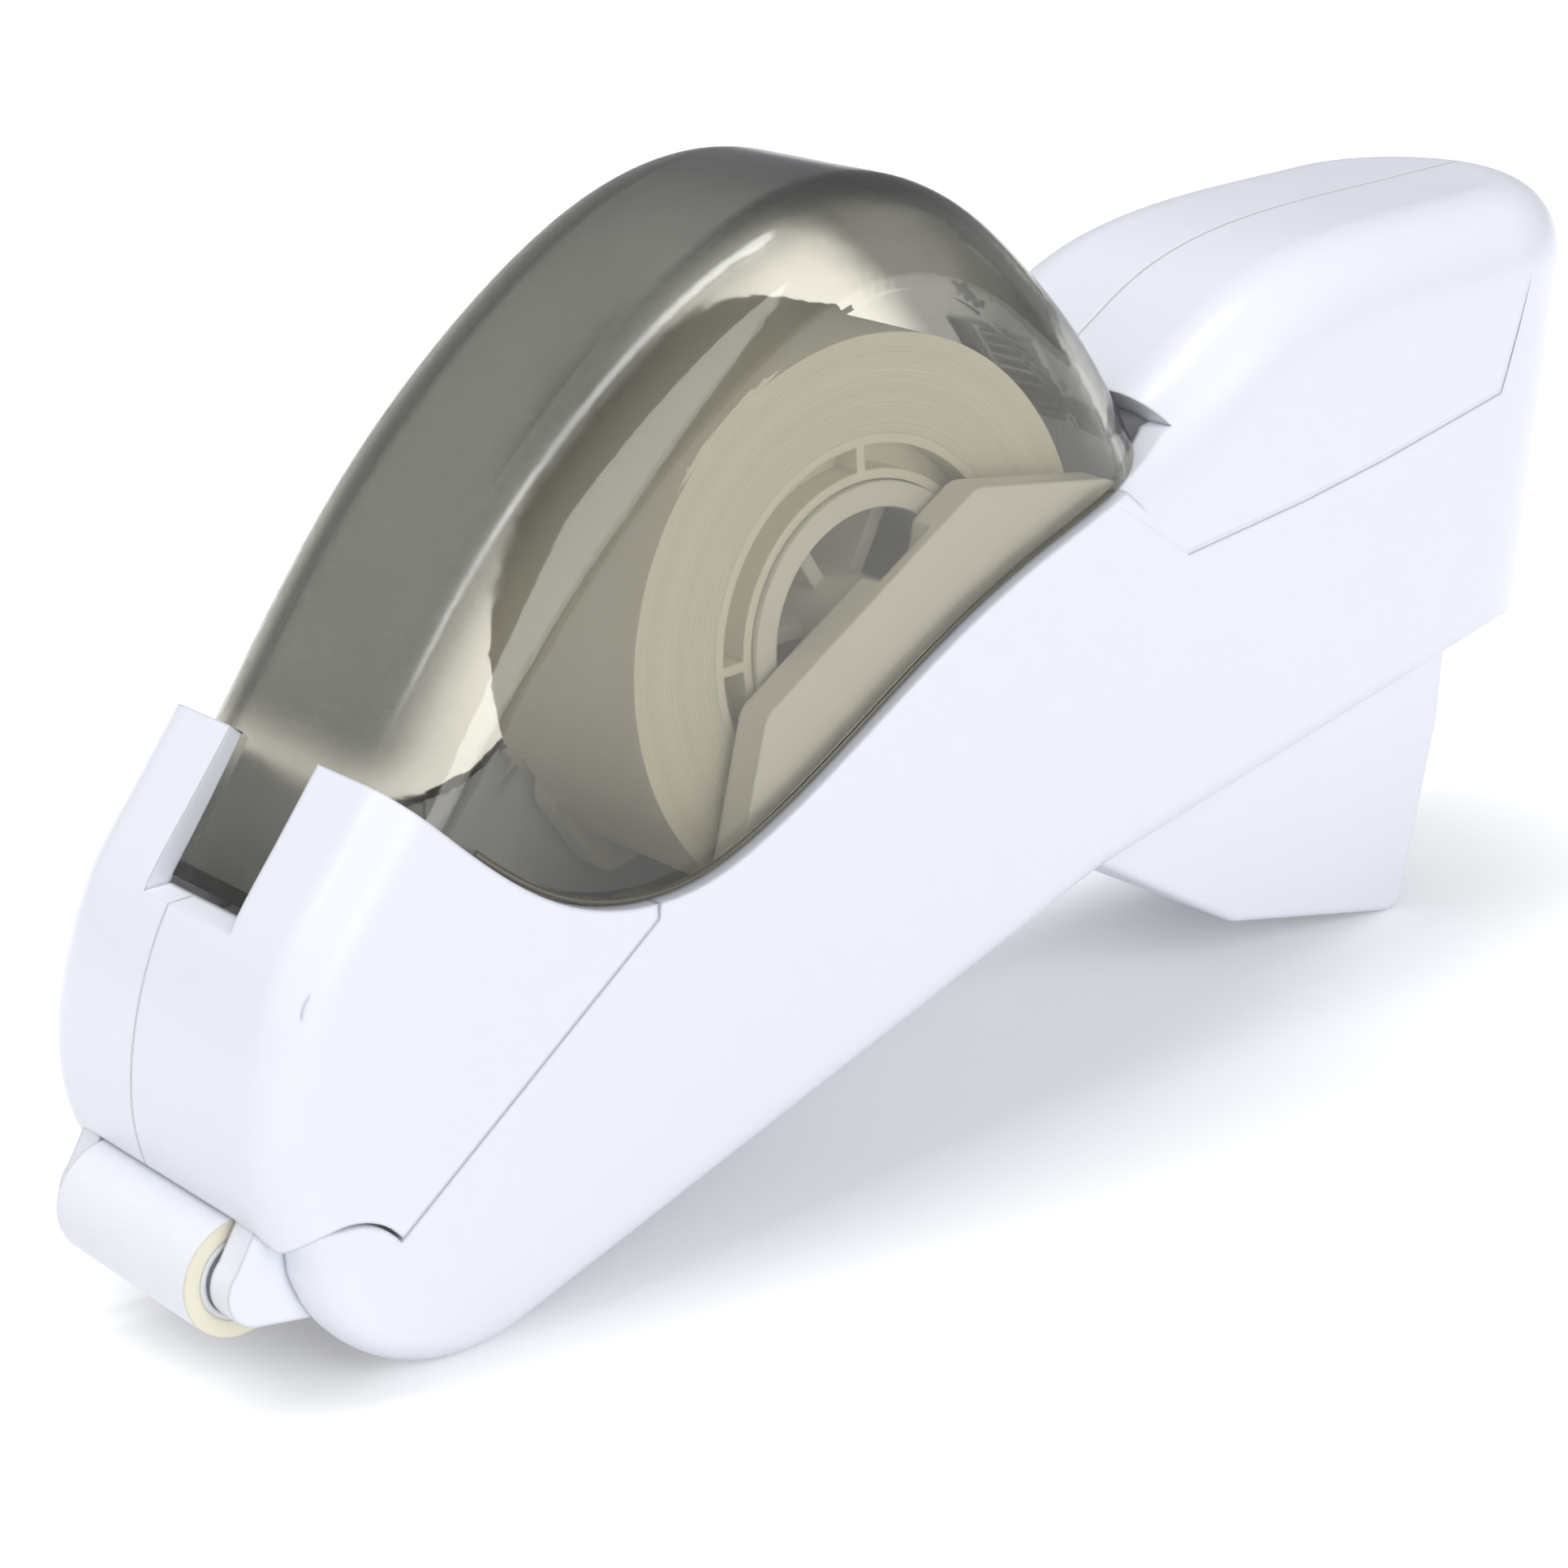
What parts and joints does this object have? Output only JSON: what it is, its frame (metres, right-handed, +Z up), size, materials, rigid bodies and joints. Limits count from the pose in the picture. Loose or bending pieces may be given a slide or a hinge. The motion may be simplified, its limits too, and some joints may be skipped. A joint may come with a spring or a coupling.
{
  "type": "tape dispenser",
  "caption": "Hand-held tape dispenser with a hinged nose and see-through roll cover, a squeeze trigger that works a cutter, and a press roller.",
  "frame": {"origin": "on the floor under the middle of the dispenser's length and width, standing on its heel and trigger", "axes": "+X from the nose to the handle, +Y across to the side with the screw heads, +Z up"},
  "size_m": [0.1654, 0.0338, 0.0857],
  "materials": {
    "white_plastic": "white moulded plastic",
    "smoked_plastic": "smoked see-through plastic",
    "inner_plastic": "off-white moulded plastic",
    "core_plastic": "ivory plastic",
    "tape": "matte translucent film",
    "roller_rubber": "white soft rubber",
    "steel": "bright steel"
  },
  "bodies": {
    "body": {"body_shell_left": "white_plastic", "body_shell_right": "white_plastic", "reel_cheek_left": "inner_plastic", "reel_cheek_right": "inner_plastic", "cheek_screws": "steel", "body_screws": "steel", "hinge_pins": "steel", "guide_axle": "steel", "cutter_pin": "steel", "trigger_pin": "steel", "trigger_spring": "steel", "tape_web": "tape"},
    "trigger": {"trigger": "white_plastic"},
    "push_rod": {"push_rod": "inner_plastic"},
    "cutter": {"cutter_arm": "inner_plastic", "cutter_blade": "steel", "blade_rivets": "steel"},
    "reel": {"tape_hub": "inner_plastic", "tape_core": "core_plastic", "tape_winding": "tape"},
    "guide_roller": {"guide_roller": "inner_plastic"},
    "lid": {"nose_cover_left": "white_plastic", "nose_cover_right": "white_plastic", "nose_screws": "steel", "smoked_cover": "smoked_plastic", "roller_axle": "steel"},
    "press_roller": {"press_roller_core": "core_plastic", "press_roller_sleeve": "roller_rubber"},
    "latch_tab": {"latch_tab": "smoked_plastic"}
  },
  "joints": [
    {"name": "lid_hinge", "type": "hinge", "parent": "body", "child": "lid", "pos_m": [-0.07275, 0, 0.0099], "axis": [0, -1, 0], "range_deg": [0, 65]},
    {"name": "latch_flex", "type": "hinge", "parent": "lid", "child": "latch_tab", "pos_m": [0.01315, 0, 0.0674], "axis": [0, 1, 0], "range_deg": [0, 6], "stiffness_Nm_per_rad": 0.05},
    {"name": "trigger_hinge", "type": "hinge", "parent": "body", "child": "trigger", "pos_m": [0.01825, 0, 0.028], "axis": [0, -1, 0], "range_deg": [0, 14], "stiffness_Nm_per_rad": 0.6, "springref_deg": -14.32, "deforming": ["trigger_spring"]},
    {"name": "rod_slide", "type": "slide", "parent": "body", "child": "push_rod", "axis": [-0.9608, 0, -0.2773], "range_m": [0, 0.0016]},
    {"name": "cutter_hinge", "type": "hinge", "parent": "body", "child": "cutter", "pos_m": [-0.06175, 0, 0.026], "axis": [0, -1, 0], "range_deg": [0, 12.5]},
    {"name": "reel_spin", "type": "hinge", "parent": "body", "child": "reel", "pos_m": [-0.01175, 0, 0.0474], "axis": [0, 1, 0], "continuous": true},
    {"name": "guide_spin", "type": "hinge", "parent": "body", "child": "guide_roller", "pos_m": [-0.05875, 0, 0.0155], "axis": [0, 1, 0], "continuous": true},
    {"name": "press_spin", "type": "hinge", "parent": "lid", "child": "press_roller", "pos_m": [-0.07775, 0, 0.0112], "axis": [0, 1, 0], "continuous": true}
  ],
  "couplings": [
    {"joint": "rod_slide", "follows": "trigger_hinge", "m_per_rad": 0.00595},
    {"joint": "cutter_hinge", "follows": "trigger_hinge", "ratio": 0.857},
    {"joint": "guide_spin", "follows": "reel_spin", "ratio": -6.25},
    {"joint": "press_spin", "follows": "reel_spin", "ratio": -5}
  ]
}
